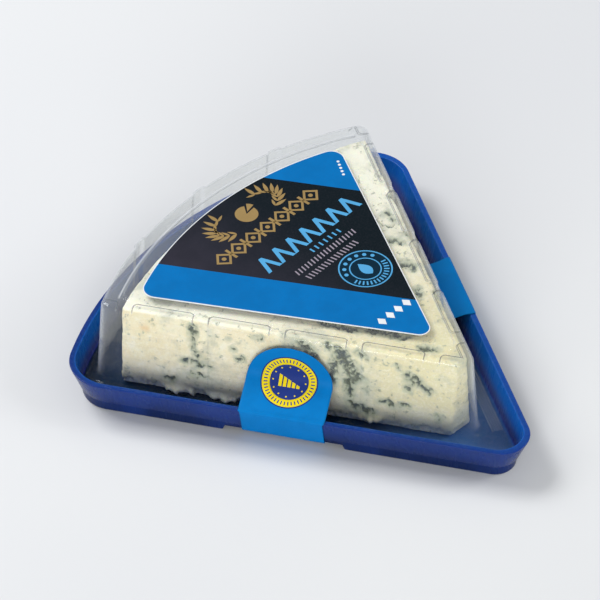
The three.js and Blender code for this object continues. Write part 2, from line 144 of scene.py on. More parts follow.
def ring(straight, curved, tip_radius, corner_radius, side_mark=None, on_side=None,
         arc_mark=None, on_arc=None):
    """One closed ring of points. straight and curved are (rise, z) on the straight sides
    and on the arc. Where side_mark of the place is 1 a side runs at on_side instead, and
    where arc_mark of the angle is 1 the arc runs at on_arc."""
    rise, height = straight
    half_turn = math.pi / 2 - HALF_ANGLE
    tip_y = (tip_radius - rise) / math.sin(HALF_ANGLE)
    turns = np.linspace(-math.pi / 2 - half_turn, -math.pi / 2 + half_turn, 18)
    tip = np.column_stack([
        tip_radius * np.cos(turns),
        tip_y + tip_radius * np.sin(turns),
        np.full(turns.size, height),
    ])
    reach = LID_RADIUS + curved[0] - corner_radius
    inset = rise - corner_radius
    corner_place = math.sqrt(reach * reach - inset * inset)
    start = tip_y * math.cos(HALF_ANGLE)

    places = side_places(start + 0.2, corner_place)
    mark = side_mark(places) if side_mark else np.zeros(places.size)
    other = on_side or straight
    rises = rise + (other[0] - rise) * mark
    heights = height + (other[1] - height) * mark
    along, out = RIGHT
    flat = places[:, None] * along + rises[:, None] * out
    right_side = np.column_stack([flat, heights])

    centre = corner_place * along + inset * out
    arc_turn = math.atan2(centre[1], centre[0])
    share = np.linspace(0, 1, 18)
    turns = -HALF_ANGLE + (arc_turn + HALF_ANGLE) * share
    corner = np.column_stack([
        centre[0] + corner_radius * np.cos(turns),
        centre[1] + corner_radius * np.sin(turns),
        height + (curved[1] - height) * share,
    ])

    limit = math.pi / 2 - arc_turn
    angles = np.linspace(limit, -limit, 260)[1:-1]
    mark = arc_mark(angles) if arc_mark else np.zeros(angles.size)
    other = on_arc or curved
    radii = LID_RADIUS + curved[0] + (other[0] - curved[0]) * mark
    heights = curved[1] + (other[1] - curved[1]) * mark
    arc = np.column_stack([radii * np.sin(angles), radii * np.cos(angles), heights])

    flip = np.array([-1, 1, 1])
    return np.vstack([tip, right_side, corner, arc, corner[::-1] * flip, right_side[::-1] * flip])


def rounded(corners, radii, steps=5):
    """The corners of a section with each inner one turned into a curve. A corner is
    (rise, z, ...), and what follows the z changes along with it."""
    corners = [np.array(corner, float) for corner in corners]
    points = [corners[0]]
    for before, corner, after, radius in zip(corners, corners[1:], corners[2:], radii):
        ways = []
        for other in (before, after):
            length = np.linalg.norm((other - corner)[:2])
            ways.append((other - corner) * min(radius / length, 0.48))
        for share in np.linspace(0, 1, steps + 1):
            points.append(corner + ways[0] * (1 - share) ** 2 + ways[1] * share ** 2)
    points.append(corners[-1])
    return points


def grid_faces(levels, count, closed=True):
    """Faces between rows of points that follow each other. Closed rows are rings."""
    faces = []
    for level in range(levels - 1):
        for i in range(count if closed else count - 1):
            a = level * count + i
            b = level * count + (i + 1) % count
            faces.append((a, b, b + count, a + count))
    return faces


def loft(rings):
    """A closed skin through the rings, with the first and the last filled flat."""
    count = len(rings[0])
    faces = grid_faces(len(rings), count)
    last = (len(rings) - 1) * count
    faces.append(tuple(range(count))[::-1])
    faces.append(tuple(range(last, last + count)))
    return np.vstack(rings), faces


def in_frame(points):
    """Points in metres in the frame, from millimetres from the virtual tip."""
    return (np.asarray(points) + [0, TIP_Y, 0]) * MM


def new_piece(name, mesh, finish):
    """An object at the origin for a finished mesh."""
    mesh.materials.append(finish)
    piece = bpy.data.objects.new(name, mesh)
    scene.collection.objects.link(piece)
    return piece


def look_outwards(mesh, weld=False):
    """Turns the faces of a closed mesh outwards."""
    work = bmesh.new()
    work.from_mesh(mesh)
    if weld:
        bmesh.ops.remove_doubles(work, verts=work.verts, dist=1e-7)
    bmesh.ops.recalc_face_normals(work, faces=work.faces)
    work.to_mesh(mesh)
    work.free()


def make_piece(name, points, faces, finish, smooth_faces=True):
    """A closed piece from points in millimetres from the virtual tip."""
    mesh = bpy.data.meshes.new(name)
    mesh.from_pydata(in_frame(points).tolist(), [], faces)
    look_outwards(mesh, weld=True)
    mesh.polygons.foreach_set("use_smooth", [smooth_faces] * len(mesh.polygons))
    return new_piece(name, mesh, finish)


def baked(piece):
    """The piece with its modifiers made into plain mesh."""
    evaluated = piece.evaluated_get(bpy.context.evaluated_depsgraph_get())
    mesh = bpy.data.meshes.new_from_object(evaluated)
    piece.modifiers.clear()
    piece.data = mesh
    return piece


class Wire:
    """A node's output that takes part in sums. Each sum adds its Math node."""

    def __init__(self, nodes, socket):
        self.nodes = nodes
        self.socket = socket

    def beside(self, name):
        """Another output of the same node."""
        return Wire(self.nodes, self.socket.node.outputs[name])

    def sum(self, operation, first, second):
        return self.nodes.node("ShaderNodeMath", {0: first, 1: second}, operation=operation)

    def __add__(self, other):
        return self.sum("ADD", self, other)

    def __sub__(self, other):
        return self.sum("SUBTRACT", self, other)

    def __rsub__(self, other):
        return self.sum("SUBTRACT", other, self)

    def __mul__(self, other):
        return self.sum("MULTIPLY", self, other)

    def __pow__(self, other):
        return self.sum("POWER", self, other)

    def size(self):
        return self.sum("ABSOLUTE", self, 0)

    def at_least(self, other):
        return self.sum("MAXIMUM", self, other)

    __radd__ = __add__
    __rmul__ = __mul__


class Nodes:
    """A node tree while it is put together."""

    def __init__(self, tree):
        self.tree = tree

    def node(self, kind, values=None, output=0, **settings):
        """Adds a node. values are the values or wires of its sockets, by name or number."""
        made = self.tree.nodes.new(kind)
        for name, value in settings.items():
            setattr(made, name, value)
        for key, value in (values or {}).items():
            if isinstance(value, Wire):
                self.tree.links.new(value.socket, made.inputs[key])
            elif isinstance(value, tuple) and len(value) == 3 and made.inputs[key].type == "RGBA":
                made.inputs[key].default_value = (*value, 1)
            else:
                made.inputs[key].default_value = value
        return Wire(self, made.outputs[output]) if len(made.outputs) else None

    def vector(self, operation, first, second=(0, 0, 0), output=0):
        values = {0: first, 1: second}
        return self.node("ShaderNodeVectorMath", values, output, operation=operation)

    def scaled(self, vector, scale):
        return self.node("ShaderNodeVectorMath", {0: vector, "Scale": scale}, operation="SCALE")


class Finish(Nodes):
    """A material's shader."""

    def __init__(self, name):
        self.material = bpy.data.materials.new(name)
        self.material.use_nodes = True
        super().__init__(self.material.node_tree)
        self.tree.nodes.clear()

    def place(self):
        """The point on the piece, in millimetres."""
        return self.scaled(self.node("ShaderNodeTexCoord", output="Object"), 1 / MM)

    def noise(self, scale, detail=2, roughness=0.5, stretch=None):
        at = self.place()
        if stretch:
            at = self.vector("MULTIPLY", at, stretch)
        values = {"Vector": at, "Scale": scale, "Detail": detail, "Roughness": roughness}
        return self.node("ShaderNodeTexNoise", values)

    def axis(self, name):
        """One coordinate of the point on the piece, in millimetres."""
        return self.node("ShaderNodeSeparateXYZ", {0: self.place()}, output=name)

    def step(self, value, low, high, start=0, end=1):
        """Goes softly from start to end as the value goes from low to high."""
        values = {0: value, 1: low, 2: high, 3: start, 4: end}
        return self.node("ShaderNodeMapRange", values, interpolation_type="SMOOTHSTEP")

    def mix(self, share, first, second):
        values = {0: share, 6: first, 7: second}
        return self.node("ShaderNodeMix", values, output=2, data_type="RGBA")

    def tint(self, colour, tone, value, low, high, most=1):
        """The colour, going over to a tone as the value goes from low to high."""
        return self.mix(self.step(value, low, high, 0, most), colour, tone)

    def bump(self, height, distance, strength=1.0):
        values = {"Height": height, "Distance": distance * MM, "Strength": strength}
        return self.node("ShaderNodeBump", values)

    def principled(self, values):
        return self.node("ShaderNodeBsdfPrincipled", values)

    def done(self, shader):
        self.node("ShaderNodeOutputMaterial", {"Surface": shader})
        return self.material


def tray_plastic():
    """Translucent blue, with light and shade painted into its colour: the inside of the wall
    and the top of the rim on the right are painted bright, as if lit through the plastic.
    The foot of the wall is painted darker as shade, inside and out. The floor is painted
    dark as shade, turning lighter blue towards the tip.
    """
    finish = Finish("tray_plastic")
    cloud = finish.noise(0.06, detail=2)
    flow = finish.noise(0.5, detail=3, stretch=(1, 1, 0.15))
    across, length, height = (finish.axis(name) for name in "XYZ")
    away = finish.vector("NORMALIZE", finish.vector("MULTIPLY", finish.place(), (1, 1, 0)))
    normal = finish.node("ShaderNodeTexCoord", output="Normal")
    outwards = finish.vector("DOT_PRODUCT", away, normal, "Value")
    # Painted shade: the outside of the wall darkens towards its foot, under the rim.
    outside = finish.tint((0.003, 0.013, 0.070), OUTSIDE_BLUE, height, 1, RIM_Z - 2)
    outside = finish.tint(outside, (0.008, 0.034, 0.195), cloud, 0.4, 0.7, 0.6)
    # Painted light and shade: the inside of the wall is painted bright, as if lit through the
    # plastic, and darker towards its foot as shade.
    inside = finish.tint((0.045, 0.062, 0.220), INSIDE_LIT_BLUE, height, 3.5, RIM_Z - 2.5)
    inner = finish.step(outwards, 0.15, -0.5)
    # Painted light: the top of the rim is painted a brighter blue towards the right side.
    edge = finish.step(height, RIM_Z - 0.3, RIM_Z - 0.05) * finish.step(across, -15, 30)
    colour = finish.mix(inner, outside, inside)
    colour = finish.mix(edge * 0.7, colour, (0.006, 0.095, 0.42))
    # Painted shade: the floor inside the tray is painted dark navy, turning lighter blue towards the
    # tip.
    floor = finish.step(height, 3.2, 2.6) * finish.step(outwards, 0.4, 0.2)
    bottom = finish.tint((0.002, 0.018, 0.052), (0.060, 0.160, 0.40), length, -12, -40)
    colour = finish.mix(floor, colour, bottom)
    shader = finish.principled({
        "Base Color": colour,
        "Roughness": finish.step(flow, 0.3, 0.7, 0.2, 0.32),
        "Normal": finish.bump(flow, 0.05, 0.15),
        "Specular IOR Level": 0.16,
        "Coat Weight": 0.04,
        "Coat Roughness": 0.1,
        "Subsurface Weight": 0.2,
        "Subsurface Radius": (0.2, 0.5, 2.0),
        "Subsurface Scale": 0.0015,
    })
    return finish.done(shader)


def foot_gap(places):
    return within(places, *FOOT_GAP, 0.8)


def tray_rings():
    """Rings from the underside round the foot, the step and the rim to the floor."""
    corners = [
        (3.5, FLOOR_Z), (4.6, FLOOR_Z), (4.9, 0), (8.0, 0), (8.08, 3.2), (8.6, 3.2),
        (RIM_RISE, RIM_Z), (RIM_RISE - 1.5, RIM_Z), (7.75, 2.3), (6.2, 2.3),
    ]
    radii = [0.3, 0.3, 0.6, 0.25, 0.25, 0.35, 0.3, 0.9]
    rings = []
    for rise, height in rounded(corners, radii):
        inwards = 0.75 * (RIM_RISE - rise)
        lifted = max(height, FLOOR_Z)
        rings.append(ring(
            (rise, height), (rise - ARC_SHIFT, height), 7.3 - inwards, 10.2 - inwards,
            side_mark=foot_gap, on_side=(rise, lifted),
        ))
    return rings


def press_dents(rings):
    """Pushes long bumps into the wall from outside, near the tip and the corners."""
    for points in rings:
        if points[0][2] < 3.4 or points[0][2] > RIM_Z - 0.8:
            continue
        for along, out in (LEFT, RIGHT):
            place = points[:, :2] @ along
            rise = points[:, :2] @ out
            on_side = smooth(rise, 5.5, 6.5)
            level = 1 - smooth(np.abs(points[:, 2] - DENT_Z), 0.3, 1.3)
            for centre in DENT_PLACES:
                share = 1 - smooth(np.abs(place - centre), 3.5, 5.5)
                points[:, :2] -= (DENT_DEPTH * share * level * on_side)[:, None] * out
    return rings


tray = make_piece("tray_shell", *loft(press_dents(tray_rings())), tray_plastic())
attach(tray, "root")
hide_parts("tray")

# Cheese ------------------------------------------------------------------------------
# One wedge cut from a wheel of blue cheese: two cut faces that meet at a blunt tip, and
# the rind at the back. A wire left fine marks along the cut faces, the paste is crumbly
# where blue mould grew in it, and its lower edge is ragged.
cheese_low, cheese_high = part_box("cheese_wedge")
CHEESE_BOTTOM = cheese_low.z / MM
CHEESE_TOP = cheese_high.z / MM
CHEESE_RISES = (0.2, -1.4)  # of the cut faces, at the bottom and the top
CHEESE_TIP = 5.4
CHEESE_BACK = 88
RIND_RADIUS = 110
VOXEL = 0.5
HOLLOW = 1.15  # depth of a hollow where the mould grew
FOOT_CUT = 1.5  # how far the face is eaten away along its foot
DEEPEST = 2.2
PROUDEST = 0.8

# Mould on the left cut face: from one (place, height) to another, and how far it spreads
FACE_MOULD = [
    ((70.2, 23.6), (69.9, 20.2), 1.1), ((70.4, 19.0), (69.4, 14.0), 0.8),
    ((72.0, 12.6), (66.6, 11.4), 1.1), ((70.6, 9.0), (66.4, 8.6), 0.5),
    ((76.9, 6.3), (75.6, 5.9), 1.1), ((54.7, 23.1), (53.9, 22.9), 0.8),
    ((61.6, 21.3), (61.3, 21.0), 0.6), ((60.4, 18.6), (60.0, 18.3), 0.45),
    ((58.8, 15.9), (58.2, 15.3), 0.8), ((44.0, 23.4), (40.4, 20.4), 1.8),
    ((37.6, 24.7), (32.4, 23.0), 1.2), ((34.0, 21.8), (30.2, 16.6), 2.6),
    ((29.8, 23.6), (28.7, 22.4), 0.8), ((31.8, 14.6), (31.2, 10.6), 1.5),
    ((35.6, 19.0), (35.9, 14.0), 1.5), ((20.4, 21.6), (18.8, 20.6), 0.5),
    ((17.5, 19.3), (15.2, 17.3), 1.9), ((15.2, 17.2), (12.0, 15.3), 1.1),
    ((17.0, 17.4), (17.2, 14.9), 0.9), ((24.0, 10.0), (21.6, 9.8), 1.0),
    ((19.0, 9.8), (17.2, 10.0), 0.9), ((31.2, 7.6), (25.6, 6.5), 1.2),
    ((9.8, 8.2), (9.6, 7.2), 0.6), ((27.9, 12.7), (27.4, 12.2), 0.5),
]
# Mould on the top: from one (x, y) to another, and how far it spreads
TOP_MOULD = [
    ((-12.9, 38.2), (-9.6, 30.8), 1.3), ((-7.2, 28.4), (-3.0, 20.4), 1.5),
    ((-3.4, 15.4), (-1.6, 12.6), 1.1), ((19.2, 46.4), (20.8, 44.4), 1.4),
    ((15.0, 38.8), (16.2, 35.8), 1.8), ((24.0, 44.8), (24.6, 43.0), 1.0),
    ((21.5, 38.2), (20.6, 36.2), 0.9), ((31.2, 57.4), (32.0, 55.2), 0.8),
    ((26.5, 53.8), (25.4, 51.4), 1.0), ((12.9, 26.6), (12.4, 24.8), 0.8),
    ((10.9, 30.2), (9.9, 28.2), 1.0), ((10.6, 21.8), (10.0, 20.4), 0.7),
]
LOOSE_CHUNK = (26.4, 4.4)  # place and height on the left cut face
CHUNK_SIZE = (3.4, 1.5)
# Flakes that came loose along the foot of that face: place, height, half their length
FLAKES = [
    (76.6, 4.0, 1.5), (73.2, 3.4, 1.6), (70.4, 3.1, 0.8), (65.6, 3.3, 1.0), (61.4, 3.1, 1.8),
    (26.2, 4.8, 2.6),
]
RUST_SPOT = (-41.0, 28.0, 20.5)  # in the frame


def face_rise(height):
    """The rise of the cut faces at a height."""
    climb = (height - CHEESE_BOTTOM) / (CHEESE_TOP - CHEESE_BOTTOM)
    return CHEESE_RISES[0] + climb * (CHEESE_RISES[1] - CHEESE_RISES[0])


def cheese_ring(height, inset):
    """The wedge's outline, with a narrow chamfer at each corner."""
    rise = face_rise(height) - inset
    back = CHEESE_BACK - inset
    place = math.sqrt(back ** 2 - rise ** 2)
    along, out = RIGHT
    corner = along * place + out * rise
    tip_y = CHEESE_TIP + inset
    tip_half = tip_y * math.tan(HALF_ANGLE) + rise / math.cos(HALF_ANGLE)
    tip = np.array([tip_half, tip_y])
    near = tip + along * 0.35
    far = corner - along * 0.4
    half = math.asin(corner[0] / RIND_RADIUS)
    centre_y = corner[1] - RIND_RADIUS * math.cos(half)
    angles = np.linspace(half * 0.993, -half * 0.993, 40)
    rind = np.column_stack([
        RIND_RADIUS * np.sin(angles), centre_y + RIND_RADIUS * np.cos(angles),
    ])
    right_half = [tip - [0.3, 0], near, far]
    left_half = [point * [-1, 1] for point in right_half[::-1]]
    flat = np.vstack([right_half, rind, left_half])
    return np.column_stack([flat, np.full(len(flat), height)])


def side_point(edge, place, rise, height):
    along, out = edge
    return np.array([*(along * place + out * rise), height])


def along_segment(points, start, end):
    """How far each point is from the segment."""
    way = end - start
    share = np.clip(((points - start) @ way) / max(way @ way, 1e-9), 0, 1)
    return np.linalg.norm(points - (start + share[:, None] * way), axis=1)


def noise_at(points, scale, octaves=3, shift=0.0):
    """Fractal noise of about -1 to 1 at each point."""
    offset = Vector((shift, -shift, 0.5 * shift))
    values = [noise.fractal(Vector(p) * scale + offset, 1.0, 2.0, octaves) for p in points]
    return np.array(values)


def mould_at(points):
    """How much blue mould there is at each point, and how much it tints what is round it."""
    warp = np.column_stack([noise_at(points, 0.45, 3, shift) for shift in (3, 17, 41)])
    warped = points + warp * 0.9
    streaks = [
        ([side_point(LEFT, place, face_rise(height), height) for place, height in ends], spread)
        for *ends, spread in FACE_MOULD
    ]
    streaks += [
        ([np.array([*point, CHEESE_TOP]) for point in ends], spread) for *ends, spread in TOP_MOULD
    ]
    total = np.zeros(len(points))
    halo = np.zeros(len(points))
    for ends, spread in streaks:
        away = along_segment(warped, *ends)
        total = np.maximum(total, 1 - smooth(away, 0.1 * spread, 1.35 * spread))
        halo = np.maximum(halo, 1 - smooth(away, 0.5 * spread, 1.6 * spread + 1.2))

    # The mould that grew through the rest of the wedge, in threads where the paste is open
    rise = points[:, :2] @ LEFT[1]
    on_face = smooth(rise, -4, -2) * (1 - smooth(points[:, 2], 23, 24.5))
    left_top = smooth(rise, -12, -9) * (1 - on_face)
    open_paste = smooth(noise_at(points, 0.07, 2, 8), 0.02, 0.3)
    thread = np.abs(noise_at(points, 0.16, 4, 29))
    clear_end = 1 - smooth(points[:, 1], 62, 74)
    share = (1 - 0.7 * on_face - 0.75 * left_top) * (0.35 + 0.65 * clear_end) * open_paste
    total = np.maximum(total, share * (1 - smooth(thread, 0.0, 0.11)))
    halo = np.maximum(halo, share * (1 - smooth(thread, 0.03, 0.3)))
    crumb = smooth(noise_at(points, 1.3, 2, 5), -0.55, 0.15)
    return total * (0.35 + 0.65 * crumb), halo


def skin_of(mesh):
    """A mesh's points, in millimetres from the virtual tip, and their normals."""
    points = np.empty(len(mesh.vertices) * 3)
    normals = np.empty(points.size)
    mesh.vertices.foreach_get("co", points)
    mesh.vertex_normals.foreach_get("vector", normals)
    return points.reshape(-1, 3) / MM - [0, TIP_Y, 0], normals.reshape(-1, 3)


def facing_away(points, normals):
    """1 where the skin faces away from the tip, as the rind does, and 0 elsewhere."""
    away = points[:, :2] / np.maximum(np.hypot(points[:, 0], points[:, 1]), 1)[:, None]
    return smooth(np.sum(normals[:, :2] * away, axis=1), 0.5, 0.8)


def sculpt_cheese(piece):
    """Moves the skin of the wedge in and out: knife marks, mould hollows, ragged foot."""
    mesh = piece.data
    points, normals = skin_of(mesh)
    mould, halo = mould_at(points)
    height = points[:, 2]
    upright = 1 - smooth(np.abs(normals[:, 2]), 0.3, 0.7)
    rind = facing_away(points, normals) * upright
    cut = upright * (1 - rind)
    marks = noise_at(points * [0.02, 0.02, 1.7], 1, 3)

    # Below a ragged edge the paste has crumbled away, except at the tip and in the flakes
    ragged = noise_at(points * [1, 1, 0.7], 0.5, 4, 11)
    edge = CHEESE_BOTTOM + 1.0 + 1.5 * ragged
    proud = smooth(points[:, :2] @ LEFT[1], 0.3, 0.7)
    under = (1 - smooth(height, edge - 0.35, edge + 0.35)) * (1 - proud)
    under *= smooth(points[:, 1], CHEESE_TIP + 0.8, CHEESE_TIP + 3)
    lip = 1 - smooth(np.abs(height - edge - 0.9), 0.3, 1.3)

    move = 0.16 * noise_at(points, 0.16, 3, 2)
    move += 0.05 * noise_at(points, 1.2, 3, 7)
    move += 0.1 * marks * cut
    move -= HOLLOW * mould ** 1.3 * smooth(noise_at(points, 0.8, 2, 3), -0.5, 0.35)
    move += rind * (0.22 * noise_at(points, 0.3, 3, 19) - 0.1)
    move += upright * (0.4 * lip * noise_at(points, 0.6, 3, 13) - FOOT_CUT * under)
    move += 0.3 * proud * noise_at(points, 1.1, 3, 23)
    place = points[:, :2] @ LEFT[0]
    on_left = smooth(points[:, :2] @ LEFT[1], -3, -1.5)
    chunk = (np.column_stack([place, height]) - LOOSE_CHUNK) / CHUNK_SIZE
    chunk = np.linalg.norm(chunk, axis=1)
    move += 0.5 * on_left * (1 - smooth(chunk, 0.55, 1.1)) * (1 + 0.5 * ragged)
    points += normals * np.clip(move, -DEEPEST, PROUDEST)[:, None]
    points[:, 2] = np.clip(points[:, 2], CHEESE_BOTTOM - 0.2, CHEESE_TOP)
    mesh.vertices.foreach_set("co", in_frame(points).ravel())
    for name, values in (("mould", mould), ("halo", halo), ("rind", rind)):
        mesh.attributes.new(name, "FLOAT", "POINT").data.foreach_set("value", values)
    mesh.update()


def cheese_paste():
    finish = Finish("cheese_paste")
    mould, halo, rind = (
        finish.node("ShaderNodeAttribute", {}, output="Fac", attribute_name=name)
        for name in ("mould", "halo", "rind")
    )
    length, height = (finish.axis(name) for name in "YZ")
    cloud = finish.noise(0.09, detail=3)
    mottle = finish.noise(0.3, detail=5, roughness=0.62)
    grain = finish.noise(1.6, detail=4)
    flecks = finish.noise(0.8, detail=5, roughness=0.68)
    wire = finish.noise(1.0, detail=3, stretch=(0.05, 0.05, 2.2))
    cream = finish.tint((0.85, 0.75, 0.49), (0.90, 0.82, 0.59), cloud, 0.35, 0.68)
    cream = finish.tint(cream, (0.80, 0.69, 0.42), mottle, 0.5, 0.68, 0.6)
    cream = finish.tint(cream, (0.94, 0.89, 0.74), mottle, 0.48, 0.3, 0.6)
    cream = finish.tint(cream, (0.75, 0.69, 0.38), length, 10, -34, 0.65)
    cream = finish.tint(cream, (0.72, 0.64, 0.44), wire, 0.48, 0.66, 0.3)
    cream = finish.tint(cream, (0.95, 0.90, 0.76), grain, 0.45, 0.7, 0.45)
    # Painted light: the top of the wedge is painted a paler cream, more so towards the back.
    top = finish.step(height, CHEESE_TOP - 0.9, CHEESE_TOP - 0.2) * finish.step(length, -25, 25)
    cream = finish.mix(top * 0.85, cream, (0.98, 0.95, 0.80))
    near = finish.vector("DISTANCE", finish.place(), RUST_SPOT, "Value")
    rust = finish.step(near + mottle * 3, 3.6, 1.6)
    cream = finish.mix(rust * 0.8, cream, (0.72, 0.42, 0.12))
    # Painted shade: the lower part of the wedge is painted a bluish grey, for the shade and blue
    # bounce light of the tray's wall.
    low = finish.step(height + mottle * 3, CHEESE_BOTTOM + 11, CHEESE_BOTTOM + 6.5, 0, 0.3)
    cream = finish.mix(low, cream, (0.50, 0.53, 0.53))
    fringe = finish.step(height + flecks * 3, CHEESE_BOTTOM + 3.8, CHEESE_BOTTOM + 2.4, 0, 0.6)
    cream = finish.mix(fringe, cream, (0.93, 0.92, 0.84))
    blue = finish.step(cloud + mottle * 0.6, 0.8, 1.0, 0, 0.5)
    spread = mould + (flecks - 0.5) * 0.8
    haze = halo + (mottle - 0.5) * 1.2
    colour = finish.mix(blue, cream, (0.46, 0.49, 0.40))
    colour = finish.tint(colour, (0.42, 0.46, 0.34), haze, 0.3, 1.0, 0.6)
    specks = finish.step(flecks + mottle * 0.35, 0.75, 0.85, 0, 0.65)
    colour = finish.mix(specks, colour, (0.22, 0.25, 0.16))
    dark = finish.tint((0.030, 0.050, 0.050), (0.080, 0.095, 0.045), mottle, 0.4, 0.6)
    colour = finish.tint(colour, (0.22, 0.27, 0.17), spread, 0.2, 0.62, 0.6)
    colour = finish.tint(colour, dark, spread, 0.45, 0.85, 0.95)
    bark = finish.tint((0.58, 0.50, 0.34), (0.74, 0.67, 0.49), grain, 0.4, 0.65)
    colour = finish.mix(rind * 0.8, colour, bark)
    relief = grain * 0.5 + wire * 0.6 + flecks * 0.6 + mottle * 0.8
    shader = finish.principled({
        "Base Color": colour,
        "Roughness": finish.step(grain, 0.35, 0.7, 0.42, 0.62),
        "Normal": finish.bump(relief, 0.22, 0.7),
        "Subsurface Weight": 0.3,
        "Subsurface Radius": (1.0, 0.75, 0.4),
        "Subsurface Scale": 0.001,
        "Specular IOR Level": 0.35,
    })
    return finish.done(shader)


class Steps(Nodes):
    """Geometry Nodes steps. sizes name the number inputs of the tree and their kinds."""

    def __init__(self, name, **sizes):
        super().__init__(bpy.data.node_groups.new(name, "GeometryNodeTree"))
        self.ids = {}
        add = self.tree.interface.new_socket
        add("Geometry", in_out="INPUT", socket_type="NodeSocketGeometry")
        for size, kind in {**sizes, "Finish": "Material"}.items():
            made = add(size, in_out="INPUT", socket_type="NodeSocket" + kind)
            self.ids[size] = made.identifier
        add("Geometry", in_out="OUTPUT", socket_type="NodeSocketGeometry")
        self.inputs = self.node("NodeGroupInput")

    def given(self, name):
        return self.inputs.beside(name)

    def random(self, low, high, seed):
        values = {0: low, 1: high, "Seed": seed}
        return self.node("FunctionNodeRandomValue", values, data_type="FLOAT_VECTOR")

    def points_along(self, spacing):
        """Points at even distances along the edges that the tree is given."""
        path = self.node("GeometryNodeMeshToCurve", {0: self.given("Geometry")})
        values = {"Curve": path, "Length": spacing}
        path = self.node("GeometryNodeResampleCurve", values, mode="LENGTH")
        return self.node("GeometryNodeCurveToPoints", {0: path}, mode="EVALUATED")

    def done(self, points, shape, **values):
        """Ends the tree with copies of a shape on points, as real geometry with its finish."""
        copies = self.node("GeometryNodeInstanceOnPoints", {
            "Points": points, "Instance": shape, **values,
        })
        real = self.node("GeometryNodeRealizeInstances", {0: copies})
        values = {"Geometry": real, "Material": self.given("Finish")}
        painted = self.node("GeometryNodeSetMaterial", values)
        self.node("NodeGroupOutput", {0: painted})
        return self

    def run(self, piece, **sizes):
        """Runs the tree on a piece and leaves a plain mesh."""
        modifier = piece.modifiers.new("steps", "NODES")
        modifier.node_group = self.tree
        for size, value in sizes.items():
            modifier[self.ids[size]] = value
        return baked(piece)


def crumb_steps():
    """Scatters lumps along a path: a random size, turn and offset for each."""
    steps = Steps("crumbs", Spacing="Float", Size="Float", Stray="Float")
    stray = steps.scaled(steps.random((-1, -1, -0.5), (1, 1, 0.5), 4), steps.given("Stray"))
    points = steps.node("GeometryNodeSetPosition", {
        "Geometry": steps.points_along(steps.given("Spacing")), "Offset": stray,
    })
    lump = steps.node("GeometryNodeMeshIcoSphere", {
        "Radius": steps.given("Size"), "Subdivisions": 3,
    })
    bulge = steps.node("ShaderNodeTexNoise", {
        "Scale": 1400.0, "Detail": 2.0,
    }, output="Color", noise_dimensions="3D")
    bulge = steps.vector("ADD", bulge, (-0.5, -0.5, -0.5))
    lump = steps.node("GeometryNodeSetPosition", {
        "Geometry": lump, "Offset": steps.scaled(bulge, 0.7 * MM),
    })
    turn = steps.random((-0.4, -0.4, 0), (0.4, 0.4, 6.28), 9)
    size = steps.random((0.5, 0.5, 0.35), (1.5, 1.1, 0.75), 2)
    return steps.done(points, lump, Rotation=turn, Scale=size)


def path_piece(name, chains, finish):
    """Edges along chains of points in millimetres, for a tree to work on."""
    mesh = bpy.data.meshes.new(name)
    points = np.vstack(chains)
    edges = []
    first = 0
    for chain in chains:
        edges += [(first + i, first + i + 1) for i in range(len(chain) - 1)]
        first += len(chain)
    mesh.from_pydata(in_frame(points).tolist(), edges, [])
    return new_piece(name, mesh, finish)


paste = cheese_paste()
cheese = make_piece("cheese_paste", *loft([
    cheese_ring(CHEESE_BOTTOM, 0.6), cheese_ring(CHEESE_BOTTOM + 0.5, 0),
    cheese_ring(CHEESE_TOP - 0.4, 0), cheese_ring(CHEESE_TOP, 0.4),
]), paste)

flake_paths = []
for place, height, half in FLAKES:
    stretch = (-half, 0, half)
    flake_paths.append(np.array([side_point(LEFT, place + s, -0.1, height) for s in stretch]))
crumbs = crumb_steps().run(
    path_piece("crumbs", flake_paths, paste),
    Spacing=0.9 * MM, Size=1.15 * MM, Stray=0.6 * MM, Finish=paste,
)
work = bmesh.new()
work.from_mesh(cheese.data)
work.from_mesh(crumbs.data)
work.to_mesh(cheese.data)
work.free()
bpy.data.objects.remove(crumbs)

remesh = cheese.modifiers.new("remesh", "REMESH")
remesh.mode = "VOXEL"
remesh.voxel_size = VOXEL * MM
remesh.use_smooth_shade = True
baked(cheese)
sculpt_cheese(cheese)
cheese.data.materials.clear()
cheese.data.materials.append(paste)
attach(cheese, "root")
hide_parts("cheese_wedge")

# Lid ---------------------------------------------------------------------------------
# Clear plastic film, thermoformed over the wedge. Grooves stiffen its straight walls and
# ribs its curved one, a raised panel carries the label, and a flange with a fine knurl
# is pressed in under the bumps of the tray.
lid_low, lid_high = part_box("lid")
PANEL_Z = lid_high.z / MM
LEDGE_Z = PANEL_Z - 0.5
FLANGE_Z = lid_low.z / MM + 0.5
FLANGE_RISE = 7.2
FILM = 0.3
WALL_FOOT = 1.6  # the rise where the wall would meet the flange
GROOVE_PLACES = (30.5, 49.3, 68.1)
GROOVE_WIDTH = 3.9
GROOVE_DEPTH = 0.5
RIB_ANGLE = math.radians(14.6)
RIB_WIDTH = 3.4
RIB_HEIGHT = 0.6
RAMP = 0.7
PAD_EDGE = 2.65  # how far inside the sides' top edge the pads begin
ARC_CREASE = 88.7  # radius of the panel's edge on the curved side
KNURL = 0.6
KNURL_ROWS = 5
KNURL_RISE = 4.35  # of the first row


